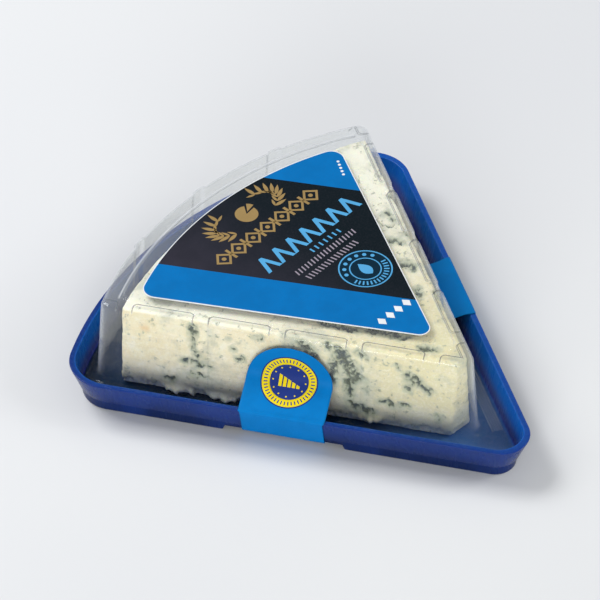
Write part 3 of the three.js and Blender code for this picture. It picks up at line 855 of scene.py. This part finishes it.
def clear_film(name, flange_shine):
    """Clear film that mirrors more where it is seen edge on. Thin dark lines are painted as shade
    round the tight bends of the pads and along the panel's edge on the curved side, with a painted
    highlight line just outside that edge. flange_shine is the flange's share."""
    finish = Finish(name)
    across, along, height = (finish.axis(name) for name in "XYZ")
    along = along - TIP_Y
    far = across.size()
    rise = far * math.cos(HALF_ANGLE) - along * math.sin(HALF_ANGLE)
    reach = far * math.sin(HALF_ANGLE) + along * math.cos(HALF_ANGLE)
    pitch = GROOVE_PLACES[1] - GROOVE_PLACES[0]
    corner = 1.1
    half = (pitch - GROOVE_WIDTH) / 2 - corner
    middle = GROOVE_PLACES[0] + pitch / 2
    beside = finish.node("ShaderNodeMath", {0: reach - (middle - pitch / 2), 1: pitch},
                         operation="FLOORED_MODULO")
    beside = ((beside - pitch / 2).size() - half).at_least(0)
    down = rise + PAD_EDGE + (LEDGE_Z - height).at_least(0)
    above = (corner - down).at_least(0)
    round_pad = ((beside ** 2 + above ** 2) ** 0.5 - corner).size()
    # Painted shade: a thin dark line round the rounded corners of the pads, where the film bends.
    line = finish.step(round_pad, 0.2, 0.08) * finish.step(down, 4.2, 2.4)
    line = line * finish.step(rise, -4.6, -4.2)
    radius = (across * across + along * along) ** 0.5
    between_sides = finish.step(rise, -3.4, -4.2)
    # Painted shade: a thin dark line along the panel's edge on the curved side.
    arc_edge_shade = finish.step((radius - ARC_CREASE).size(), 0.28, 0.1) * between_sides
    line = line.at_least(arc_edge_shade * 0.8)
    # Painted highlight: a thin pale line just outside the panel's edge on the curved side.
    painted_glint = finish.step((radius - (ARC_CREASE + 0.5)).size(), 0.3, 0.1) * between_sides
    facing = finish.node("ShaderNodeLayerWeight", {"Blend": 0.5}, output="Facing")
    ripple = finish.noise(0.12, detail=1)
    flange = finish.step(height, FLANGE_Z + 2.2, FLANGE_Z + 0.4)
    shine = facing ** 3 * 0.82 + 0.035
    shine = shine * finish.step(flange, 0, 1, 1, flange_shine)
    # Where the painted dark lines lie, the mirror's tone darkens. There and along the painted
    # highlight, the film mirrors more and is rougher.
    tone = finish.mix(line, (0.88, 0.91, 0.95), (0.13, 0.15, 0.17))
    mirror = finish.principled({
        "Base Color": tone,
        "Roughness": finish.step(line.at_least(painted_glint), 0, 1, 0.12, 0.4),
        "Metallic": 0.42,
        "Normal": finish.bump(ripple, 0.25, 0.5),
    })
    window = finish.node("ShaderNodeBsdfTransparent", {"Color": (0.99, 0.995, 0.995)})
    values = {0: shine + line * 0.4 + painted_glint * 0.3, 1: window, 2: mirror}
    return finish.done(finish.node("ShaderNodeMixShader", values))


def in_groove(places):
    half = GROOVE_WIDTH / 2
    marks = [within(places, centre - half, centre + half, RAMP) for centre in GROOVE_PLACES]
    return np.maximum.reduce(marks)


def on_rib(angles):
    half = RIB_WIDTH / 2 / LID_RADIUS
    ramp = RAMP / LID_RADIUS
    centres = (-RIB_ANGLE, 0, RIB_ANGLE)
    return np.maximum.reduce([within(angles, c - half, c + half, ramp) for c in centres])


def lid_sections(depth):
    """Sections from the panel to the flange at a depth inside the skin: on a straight
    side, in a groove, on the curved side and on a rib. The last two numbers of a corner
    are the radii of the tip and of the back corners there."""
    panel = PANEL_Z - depth
    ledge = LEDGE_Z - depth
    flange = FLANGE_Z - depth
    arc_flange = FLANGE_RISE - ARC_SHIFT
    wall = -0.05 - depth
    foot = WALL_FOOT - depth
    straight = [
        (-3.8, panel, 3.2, 3.2), (-3.15 - 0.5 * depth, panel, 3.2, 3.2),
        (-2.8 - 0.5 * depth, ledge, 3.2, 3.2), (wall, ledge, 2.9 - depth, 2.2 - depth),
        (foot, flange, 4.3 - depth, 3.9 - depth), (FLANGE_RISE, flange, 7, 7.4),
    ]
    groove = [
        (-2.9, panel), (-2.7, panel), (-2.5, panel), (wall - GROOVE_DEPTH, panel),
        (foot - 0.7 * GROOVE_DEPTH, flange), (FLANGE_RISE, flange),
    ]
    curved = [
        (-5.2, panel), (-4.55 - 0.5 * depth, panel), (-4.2 - 0.5 * depth, ledge), (wall, ledge),
        (foot, flange), (arc_flange, flange),
    ]
    rib = [*curved[:3], (wall + RIB_HEIGHT, ledge), (foot + 0.7 * RIB_HEIGHT, flange), curved[5]]
    radii = [0.2, 0.2, 1.3 - depth, 2.6 + depth]
    arc_radii = [0.2, 0.2, 1.3 - depth, 1.8 + depth]
    return (
        rounded(straight, radii, 7), rounded(groove, radii, 7),
        rounded(curved, arc_radii, 7), rounded(rib, arc_radii, 7),
    )


def lid_rings(depth):
    rings = []
    for straight, groove, curved, rib in zip(*lid_sections(depth)):
        rise, height, tip_radius, corner_radius = straight
        rings.append(ring(
            (rise, height), tuple(curved), max(tip_radius, 0.5), max(corner_radius, 0.5),
            side_mark=in_groove, on_side=tuple(groove), arc_mark=on_rib, on_arc=tuple(rib),
        ))
    return rings


def knurl_steps():
    """Small four-sided pyramids set close together along a path."""
    steps = Steps("knurl", Pitch="Float", Height="Float")
    points = steps.points_along(steps.given("Pitch"))
    pyramid = steps.node("GeometryNodeMeshCone", {
        "Vertices": 4, "Radius Top": 0.0, "Radius Bottom": steps.given("Pitch") * 0.46,
        "Depth": steps.given("Height"),
    })
    turn = steps.node("FunctionNodeAlignRotationToVector", {
        "Vector": points.beside("Tangent"),
    }, axis="X")
    return steps.done(points, pyramid, Rotation=turn)


film = clear_film("clear_film", 0.25)
knurled_film = clear_film("knurled_film", 4)
lid = make_piece("lid_film", *loft([*lid_rings(FILM), *lid_rings(0)[::-1]]), film)
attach(lid, "root")
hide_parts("lid")

knurl_paths = []
for edge in (LEFT, RIGHT):
    for row in range(KNURL_ROWS):
        rise = KNURL_RISE + row * KNURL
        shift = 0.5 * KNURL * (row % 2)
        ends = [side_point(edge, place, rise, FLANGE_Z) for place in (1.5 + shift, 84)]
        knurl_paths.append(np.array(ends))
knurl = knurl_steps().run(
    path_piece("lid_knurl", knurl_paths, knurled_film), Pitch=KNURL * MM, Height=0.16 * MM,
    Finish=knurled_film,
)
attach(knurl, "root")

# Label -------------------------------------------------------------------------------
# Coated paper, die cut with round corners and stuck on the panel a little askew. It is
# printed in blue with a dark band across it, plain ornaments in gold and light blue, and
# a white margin is left round its edge.
PAPER_Z = PANEL_Z + 0.05
PAPER = 0.15
INK = 0.015
LABEL_RISE = -7.1
LABEL_RADIUS = 85
LABEL_CORNER = 3.4
LABEL_TIP = 2.6
LABEL_TURN = math.radians(1.8)
LABEL_SHIFT = 0.7
DARK_BAND = (-54.9, -19.0)  # between these rises from the left side


def spin(flat, turn):
    """Flat points turned round the origin."""
    x, y = np.asarray(flat, float).T
    cos, sin = math.cos(turn), math.sin(turn)
    return np.column_stack([cos * x - sin * y, sin * x + cos * y])


def ink(name, colour, roughness=0.45, metallic=0.0, second=None):
    """Ink on coated paper: slightly mottled over a faint fibre, and towards a second tone
    along the label if there is one."""
    finish = Finish(name)
    fibre = finish.noise(2.5, detail=4)
    mottle = finish.noise(0.2, detail=3)
    shade = finish.mix(finish.step(mottle, 0.3, 0.7), colour, tuple(0.9 * part for part in colour))
    if second:
        shade = finish.tint(shade, second, finish.axis("X") + mottle * 10, -28, 18)
    shade = finish.mix(finish.step(fibre, 0.4, 0.75, 0, 0.25), shade,
                       tuple(0.75 * part + 0.01 for part in colour))
    shader = finish.principled({
        "Base Color": shade,
        "Roughness": finish.step(fibre, 0.3, 0.7, roughness - 0.06, roughness + 0.06),
        "Metallic": metallic,
        "Normal": finish.bump(fibre, 0.02, 0.3),
        "Specular IOR Level": 0.06,
    })
    return finish.done(shader)


def arc_points(centre, radius, start, end, steps):
    turns = np.linspace(start, end, steps + 1)
    return np.column_stack([centre[0] + radius * np.cos(turns), centre[1] + radius * np.sin(turns)])


def label_outline(margin=0.0):
    rise = LABEL_RISE - margin
    radius = LABEL_RADIUS - margin
    corner = LABEL_CORNER - margin
    tip = LABEL_TIP - margin
    along, out = RIGHT
    inset = rise - corner
    centre = along * math.sqrt((radius - corner) ** 2 - inset ** 2) + out * inset
    turn = math.atan2(centre[1], centre[0])
    tip_centre = (0, (tip - rise) / math.sin(HALF_ANGLE))
    corner_arc = arc_points(centre, corner, -HALF_ANGLE, turn, 14)
    return np.vstack([
        arc_points(tip_centre, tip, -math.pi + HALF_ANGLE, -HALF_ANGLE, 14),
        corner_arc,
        arc_points((0, 0), radius, turn, math.pi - turn, 70)[1:-1],
        corner_arc[::-1] * [-1, 1],
    ])


def clipped(outline, normal, limit, keep_below=True):
    """The part of an outline on one side of a line."""
    kept = []
    sign = 1 if keep_below else -1
    values = sign * (outline @ normal - limit)
    for i, here in enumerate(outline):
        before = outline[i - 1]
        if (values[i - 1] < 0) != (values[i] < 0):
            share = values[i - 1] / (values[i - 1] - values[i])
            kept.append(before + (here - before) * share)
        if values[i] < 0:
            kept.append(here)
    return np.array(kept)


def on_label(flat):
    """Places a flat point of the label where the label is stuck."""
    return spin(flat, LABEL_TURN) + [LABEL_SHIFT, 0]


def slab(outline, bottom, top):
    """Points and faces of a thin plate with the given outline."""
    count = len(outline)
    points = np.vstack([
        np.column_stack([outline, np.full(count, height)]) for height in (bottom, top)
    ])
    faces = [tuple(range(count))[::-1], tuple(range(count, 2 * count))]
    faces += [(i, (i + 1) % count, (i + 1) % count + count, i + count) for i in range(count)]
    return points, faces


def joined(shapes):
    """Several shapes' points and faces as one."""
    points = []
    faces = []
    first = 0
    for shape_points, shape_faces in shapes:
        points.append(shape_points)
        faces += [tuple(i + first for i in face) for face in shape_faces]
        first += len(shape_points)
    return np.vstack(points), faces


def print_piece(name, outlines, layer, finish):
    """Ink of one colour on the label, as a very thin plate."""
    bottom = PAPER_Z + PAPER + (layer - 1) * INK
    shapes = [slab(on_label(outline), bottom, bottom + INK) for outline in outlines]
    piece = make_piece(name, *joined(shapes), finish, smooth_faces=False)
    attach(piece, "root")
    return piece


def repeat_steps():
    """Copies a shape a number of times, each a step and a turn further on."""
    steps = Steps("repeat", Count="Int", Step="Vector", Turn="Float", Centre="Vector")
    points = steps.node("GeometryNodeMeshLine", {
        "Count": steps.given("Count"), "Start Location": steps.given("Centre"),
        "Offset": steps.given("Step"),
    })
    turn = steps.node("ShaderNodeCombineXYZ", {
        "Z": steps.node("GeometryNodeInputIndex") * steps.given("Turn"),
    })
    shape = steps.node("GeometryNodeTransform", {
        0: steps.given("Geometry"), "Translation": steps.scaled(steps.given("Centre"), -1.0),
    })
    return steps.done(points, shape, Rotation=turn)


def label_way(x, y):
    """A direction on the label, in metres in the frame."""
    return Vector((*spin([(x, y)], LABEL_TURN)[0] * MM, 0))


def label_spot(x, y, height):
    """A point on the label, in metres in the frame."""
    return Vector(in_frame([*on_label([(x, y)])[0], height]))


def disc(x, y, radius, steps=28):
    return arc_points((x, y), radius, 0, 2 * math.pi, steps)[:-1]


def leaf(x, y, length, width, turn):
    """A pointed leaf that starts at x, y and lies in the direction of turn."""
    share = np.linspace(0, 1, 9)
    half = width / 2 * np.sin(math.pi * share ** 0.8)
    shape = np.vstack([
        np.column_stack([share * length, half]),
        np.column_stack([share * length, -half])[-2:0:-1],
    ])
    return spin(shape, turn) + [x, y]


def ring_band(x, y, inner, outer, steps=64):
    """Quarter pieces of a flat ring, each a simple outline."""
    quarters = []
    for quarter in range(4):
        start = quarter * math.pi / 2
        there = arc_points((x, y), outer, start, start + math.pi / 2, steps // 4)
        again = arc_points((x, y), inner, start + math.pi / 2, start, steps // 4)
        quarters.append(np.vstack([there, again]))
    return quarters


white_ink = ink("white_ink", (0.78, 0.80, 0.82))
blue_ink = ink("blue_ink", (0.0, 0.150, 0.44), roughness=0.5)
dark_ink = ink("dark_ink", (0.030, 0.028, 0.042), 0.55, second=(0.003, 0.008, 0.012))
gold_ink = ink("gold_ink", (0.37, 0.25, 0.10), metallic=0.3)
sky_ink = ink("sky_ink", (0.09, 0.37, 0.67))
rose_ink = ink("rose_ink", (0.32, 0.28, 0.34))

paper = make_piece("label_paper", *slab(on_label(label_outline()), PAPER_Z, PAPER_Z + PAPER),
                   white_ink, smooth_faces=False)
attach(paper, "root")
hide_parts("top_label")

printed = label_outline(0.25)
left_out = LEFT[1]
print_piece("label_blue", [printed], 1, blue_ink)
dark = clipped(clipped(printed, left_out, DARK_BAND[1]), left_out, DARK_BAND[0], keep_below=False)
print_piece("label_dark", [dark], 2, dark_ink)

# Two sprigs that bend towards each other round a wheel of cheese with a piece cut out
def sector(x, y, radius, start, end):
    return np.vstack([[(x, y)], arc_points((x, y), radius, start, end, 24)])


EMBLEM = (2.6, 77.3)
WHEEL = 2.9
SPRIG_LEAVES = 8
leaves = []
stems = []
for mirror in (-1, 1):
    for i in range(SPRIG_LEAVES):
        turn = -math.pi / 2 + mirror * (0.75 + 0.24 * i)
        x = EMBLEM[0] + 10.2 * math.cos(turn)
        y = EMBLEM[1] + 4.3 * math.sin(turn)
        lean = turn + mirror * math.pi / 2
        leaves.append(leaf(x, y, 3.6, 1.0, lean - mirror * 0.85))
        stems.append(leaf(x, y, 2.5, 0.7, lean + mirror * 0.35))
print_piece("label_sprigs", leaves, 3, gold_ink)
print_piece("label_sprig_stems", stems, 4, gold_ink)
cut = sector(*EMBLEM, WHEEL, 0.95, 2 * math.pi + 0.1)
slice_out = sector(EMBLEM[0] + 0.75, EMBLEM[1] + 0.45, WHEEL, 0.2, 0.85)
print_piece("label_wheel", [cut, slice_out], 3, gold_ink)

repeat = repeat_steps()


def row(name, outlines, finish, count, step_x, layer=3):
    """A row of one printed ornament along the label."""
    piece = print_piece(name, outlines, layer, finish)
    return repeat.run(piece, Count=count, Step=label_way(step_x, 0), Turn=0.0,
                      Centre=label_spot(*outlines[0][0], PAPER_Z), Finish=finish)


def bar(x, y, width, height, slant=0.0):
    """A printed bar that stands at x, y and leans over by slant."""
    half = width / 2
    return np.array([
        (x - half, y), (x + half, y), (x + half + slant, y + height), (x - half + slant, y + height),
    ])


LOZENGE = (-13.1, 70.3)  # the middle of the first one
LOZENGE_PITCH = 5.2
TICK_PITCH = 1.13
row("label_lozenges", ring_band(*LOZENGE, 1.75, 2.6, 4), gold_ink, 7, LOZENGE_PITCH)
row("label_gold_dots", [disc(*LOZENGE, 0.6, 14)], gold_ink, 7, LOZENGE_PITCH)
between = bar(LOZENGE[0] + LOZENGE_PITCH / 2, LOZENGE[1] - 1.9, 0.75, 3.8)
row("label_gold_bars", [between], gold_ink, 6, LOZENGE_PITCH)
chevron = np.array([
    (-9.7, 58.7), (-8.6, 58.7), (-7.3, 62.3), (-6.0, 58.7), (-4.9, 58.7), (-6.8, 64.0), (-7.8, 64.0),
])
row("label_chevrons", [chevron], sky_ink, 7, 4.85)
row("label_sky_ticks", [bar(3.4, 55.8, 0.45, 1.5)], sky_ink, 7, 1.6)
row("label_upper_ticks", [bar(-5.2, 52.9, 0.38, 1.7, 0.3)], rose_ink, 19, TICK_PITCH)
row("label_lower_ticks", [bar(-4.2, 49.9, 0.38, 1.7, -0.3)], rose_ink, 16, TICK_PITCH)
mark = np.array([(-5.4, 27.4), (-4.3, 25.9), (-3.2, 27.4), (-4.3, 28.9)])
row("label_white_marks", [mark], white_ink, 4, 2.95)
print_piece("label_side_marks", [disc(32.0 - 0.68 * i, 73.6 - 1.05 * i, 0.38, 12) for i in range(5)],
            3, white_ink)

# A round strength dial: two rings, dots above and ticks below, and a drop in the middle
DIAL = (7.0, 42.6)
DIAL_DOTS = 7
DIAL_TICKS = 15
teal_ink = ink("teal_ink", (0.002, 0.020, 0.040))
print_piece("label_dial_field", [disc(*DIAL, 6.4, 64)], 3, teal_ink)
rings = [*ring_band(*DIAL, 6.25, 6.6), *ring_band(*DIAL, 3.65, 3.95)]
print_piece("label_dial", [*rings, leaf(DIAL[0], DIAL[1] - 2.4, 4.9, 2.9, math.pi / 2)], 4, sky_ink)


def round_dial(name, outline, count, turn):
    """Copies of one ornament round the middle of the dial."""
    piece = print_piece(name, [outline], 4, sky_ink)
    repeat.run(piece, Count=count, Step=Vector((0, 0, 0)), Turn=turn,
               Centre=label_spot(*DIAL, PAPER_Z), Finish=sky_ink)


upper = math.radians(22)
dot = disc(DIAL[0] + 5.1 * math.cos(upper), DIAL[1] + 5.1 * math.sin(upper), 0.52, 14)
round_dial("label_dial_dots", dot, DIAL_DOTS, (math.pi - 2 * upper) / (DIAL_DOTS - 1))
lower = math.radians(-165)
tick = [(4.5, -0.2), (5.8, -0.2), (5.8, 0.2), (4.5, 0.2)]
tick_turn = math.radians(150) / (DIAL_TICKS - 1)
round_dial("label_dial_ticks", spin(tick, lower) + DIAL, DIAL_TICKS, tick_turn)

# Seal band ---------------------------------------------------------------------------
# A strip of the same paper that closes the pack. Its round tongue is stuck to the front
# wall of the lid, from there it goes over the rim, down the tray, under the floor and up
# the other side, where its end is stuck to the lid behind.
BAND_CENTRE = 45.7
BAND_HALF = 10.6
BAND_PAPER = 0.12
CLEAR = 0.12  # between the band and the plastic it is stuck to
WALL_LEAN = (WALL_FOOT + 0.05) / (LEDGE_Z - FLANGE_Z)
FRONT_HEIGHTS = (23.1, 13.6)  # of the tongue's tip, and where the band leaves the lid's wall
BACK_HEIGHTS = (17.0, 8.6)
ROW_SPACING = 0.45
BADGE = 6.9
BADGE_FIELD = 4.75
BADGE_LINE = 0.2
BADGE_DOWN = 9.7  # from the tip of the tongue to the middle of the badge


def band_path(top, leaves_wall):
    """The band's section down one side, as (rise, z)."""
    def wall(height):
        return (-0.05 + WALL_LEAN * (LEDGE_Z - height) + CLEAR, height)

    corners = [
        wall(top), wall(leaves_wall), (RIM_RISE - 1.4, RIM_Z + CLEAR),
        (RIM_RISE + CLEAR, RIM_Z + CLEAR), (8.62 + CLEAR, 3.2), (8.25, FLOOR_Z - 0.3),
        (5.5, FLOOR_Z - 0.35),
    ]
    return rounded(corners, [2.6, 0.8, 0.25, 0.6, 0.5], 8)


def even_path(corners, spacing):
    """Points at an even spacing along a path, with the distance of each from its start."""
    corners = np.array(corners)
    steps = np.linalg.norm(np.diff(corners, axis=0), axis=1)
    reach = np.concatenate([[0], np.cumsum(steps)])
    count = int(reach[-1] / spacing) + 1
    run = np.linspace(0, reach[-1], count)
    return np.column_stack([np.interp(run, reach, corners[:, i]) for i in range(2)]), run


front_path, front_run = even_path(band_path(*FRONT_HEIGHTS), ROW_SPACING)
back_path, back_run = even_path(band_path(*BACK_HEIGHTS), ROW_SPACING)


def half_width(run):
    """Half the tongue's width at a distance from its tip: round at first. band_rows makes it a
    little narrower below the rim."""
    short = np.clip(BAND_HALF - run, 0, BAND_HALF)
    return np.sqrt(np.maximum(BAND_HALF ** 2 - short ** 2, 0.02))


def band_rows(edge, path, run):
    shares = np.linspace(-1, 1, 45)
    rows = []
    for (rise, height), away in zip(path, run):
        half = half_width(away) - 0.45 * smooth(RIM_Z + 0.2 - height, 0, 0.4)
        rows.append(np.array([
            side_point(edge, BAND_CENTRE + half * share, rise, height) for share in shares
        ]))
    return rows


def thicken(piece, thickness):
    """Gives a sheet its thickness, away from the pack."""
    modifier = piece.modifiers.new("paper", "SOLIDIFY")
    modifier.thickness = thickness * MM
    modifier.offset = 1
    return baked(piece)


left_rows = band_rows(LEFT, front_path, front_run)
right_rows = band_rows(RIGHT, back_path, back_run)
under_rows = [
    left_rows[-1] * (1 - share) + right_rows[-1] * share for share in np.linspace(0, 1, 60)[1:-1]
]
all_rows = [*left_rows, *under_rows, *right_rows[::-1]]
band_points = np.vstack(all_rows)
band_faces = grid_faces(len(all_rows), len(all_rows[0]), closed=False)


def open_piece(name, points, faces, finish, outwards):
    """A sheet whose faces look the way that outwards tells for their first point."""
    mesh = bpy.data.meshes.new(name)
    mesh.from_pydata(in_frame(points).tolist(), [], faces)
    mesh.update()
    face = mesh.polygons[len(mesh.polygons) // 8]
    if face.normal.dot(Vector(outwards)) < 0:
        mesh.flip_normals()
    mesh.polygons.foreach_set("use_smooth", [True] * len(mesh.polygons))
    return new_piece(name, mesh, finish)


FRONT_WAY = (*LEFT[1], 0.3)  # roughly the way the front of the band looks
band_blue = ink("band_blue", (0.0, 0.178, 0.51), roughness=0.5)
band = open_piece("seal_band", band_points, band_faces, band_blue, FRONT_WAY)
thicken(band, BAND_PAPER)
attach(band, "root")
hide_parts("seal_band")


def on_band(flat, lift):
    """Points of the band's front: across it, and down it from the tip of the tongue."""
    points = []
    for across, down in flat:
        rise, height = (np.interp(down, front_run, front_path[:, i]) for i in range(2))
        ahead = [np.interp(down + 0.3, front_run, front_path[:, i]) for i in range(2)]
        slope = np.array([ahead[0] - rise, ahead[1] - height])
        slope /= np.linalg.norm(slope)
        rise -= slope[1] * lift
        height += slope[0] * lift
        points.append(side_point(LEFT, BAND_CENTRE + across, rise, height))
    return np.array(points)


def polar(inner, outer, turns=72, steps=6):
    """A flat ring or disc round the badge's centre, as across and down, and its faces."""
    points = []
    for radius in np.linspace(inner, outer, steps):
        for turn in np.linspace(0, 2 * math.pi, turns, endpoint=False):
            points.append((radius * math.cos(turn), BADGE_DOWN + radius * math.sin(turn)))
    return points, grid_faces(steps, turns)


def badge_piece(name, flat, faces, finish):
    """A round part of the badge, printed on the band."""
    piece = open_piece(name, on_band(flat, BAND_PAPER), faces, finish, FRONT_WAY)
    thicken(piece, INK)
    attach(piece, "root")
    return piece


def badge_print(name, outlines, finish, count=1):
    """Small prints on the badge, as across and down from its middle. They are repeated
    round the middle while they are flat, and then laid on the band."""
    mesh = bpy.data.meshes.new(name)
    points, faces = joined([slab(np.asarray(outline), 0, INK) for outline in outlines])
    mesh.from_pydata((points * MM).tolist(), [], faces)
    piece = bpy.data.objects.new(name, mesh)
    scene.collection.objects.link(piece)
    repeat.run(piece, Count=count, Step=Vector((0, 0, 0)), Turn=2 * math.pi / count,
               Centre=Vector((0, 0, 0)), Finish=finish)
    for vertex in piece.data.vertices:
        across, down, lift = vertex.co / MM
        flat = [(across, BADGE_DOWN + down)]
        vertex.co = in_frame(on_band(flat, BAND_PAPER + INK + lift)[0])
    look_outwards(piece.data)
    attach(piece, "root")


yellow_ink = ink("yellow_ink", (0.84, 0.66, 0.012))
navy_ink = ink("navy_ink", (0.018, 0.040, 0.22))
badge_piece("badge_rim", *polar(BADGE - BADGE_LINE, BADGE + 0.12, steps=2), navy_ink)
badge_piece("badge_ring", *polar(BADGE_FIELD, BADGE - BADGE_LINE), yellow_ink)
badge_piece("badge_field", *polar(0.05, BADGE_FIELD, steps=12), navy_ink)
badge_print("badge_ticks", [bar(0, 5.3, 0.28, 0.95)], navy_ink, 44)
badge_print("badge_dots", [disc(0, 4.0, 0.2, 10)], yellow_ink, 12)
# A wedge seen from the side, cut into slices by gaps in the print
slices = []
for i in range(5):
    near = -2.7 + 1.1 * i
    slices.append(np.array([
        (near, 1.5), (near, 0.9 - 0.55 * i), (near + 0.8, 0.5 - 0.55 * i), (near + 0.8, 1.5),
    ]))
badge_print("badge_slices", slices, yellow_ink)

# Floor and light ---------------------------------------------------------------------
# A plain pale studio table, a large soft key light behind on the left, a fill on either
# side of the camera, a small lamp for the edges of the film and an even pale surround.
def table_top():
    finish = Finish("table_top")
    cloud = finish.noise(0.004, detail=2)
    colour = finish.tint((0.66, 0.67, 0.69), (0.70, 0.71, 0.72), cloud, 0.3, 0.7)
    return finish.done(finish.principled({
        "Base Color": colour, "Roughness": 0.7, "Specular IOR Level": 0.2,
    }))


FLOOR_HALF = 3.0
floor_mesh = bpy.data.meshes.new("floor")
floor_mesh.from_pydata(
    [(x * FLOOR_HALF, y * FLOOR_HALF, 0) for x, y in ((-1, -1), (1, -1), (1, 1), (-1, 1))],
    [], [(0, 1, 2, 3)],
)
new_piece("floor", floor_mesh, table_top())


def soft_light(name, place, aim, size, power):
    light = bpy.data.lights.new(name, "AREA")
    light.shape = "RECTANGLE"
    light.size, light.size_y = size
    light.energy = power
    lamp = bpy.data.objects.new(name, light)
    lamp.location = place
    lamp.rotation_mode = "QUATERNION"
    lamp.rotation_quaternion = (Vector(aim) - Vector(place)).to_track_quat("-Z", "Y")
    scene.collection.objects.link(lamp)


soft_light("key", (-0.15, 0.55, 0.65), (0, 0, 0), (0.45, 0.35), 5.2)
soft_light("front_fill", (-0.85, -0.55, 0.3), (0, 0, 0.01), (0.5, 0.4), 6.3)
soft_light("right_fill", (0.55, -0.45, 0.5), (0, 0, 0.01), (0.25, 0.3), 1.7)
soft_light("edge_light", (0.30, -0.55, 0.42), (0, -0.02, 0.02), (0.07, 0.07), 0.3)

world = bpy.data.worlds.new("surround")
world.use_nodes = True
surround = world.node_tree.nodes["Background"]
surround.inputs["Color"].default_value = (0.96, 0.98, 1.0, 1)
surround.inputs["Strength"].default_value = 0.42
scene.world = world
scene.view_settings.view_transform = "Standard"
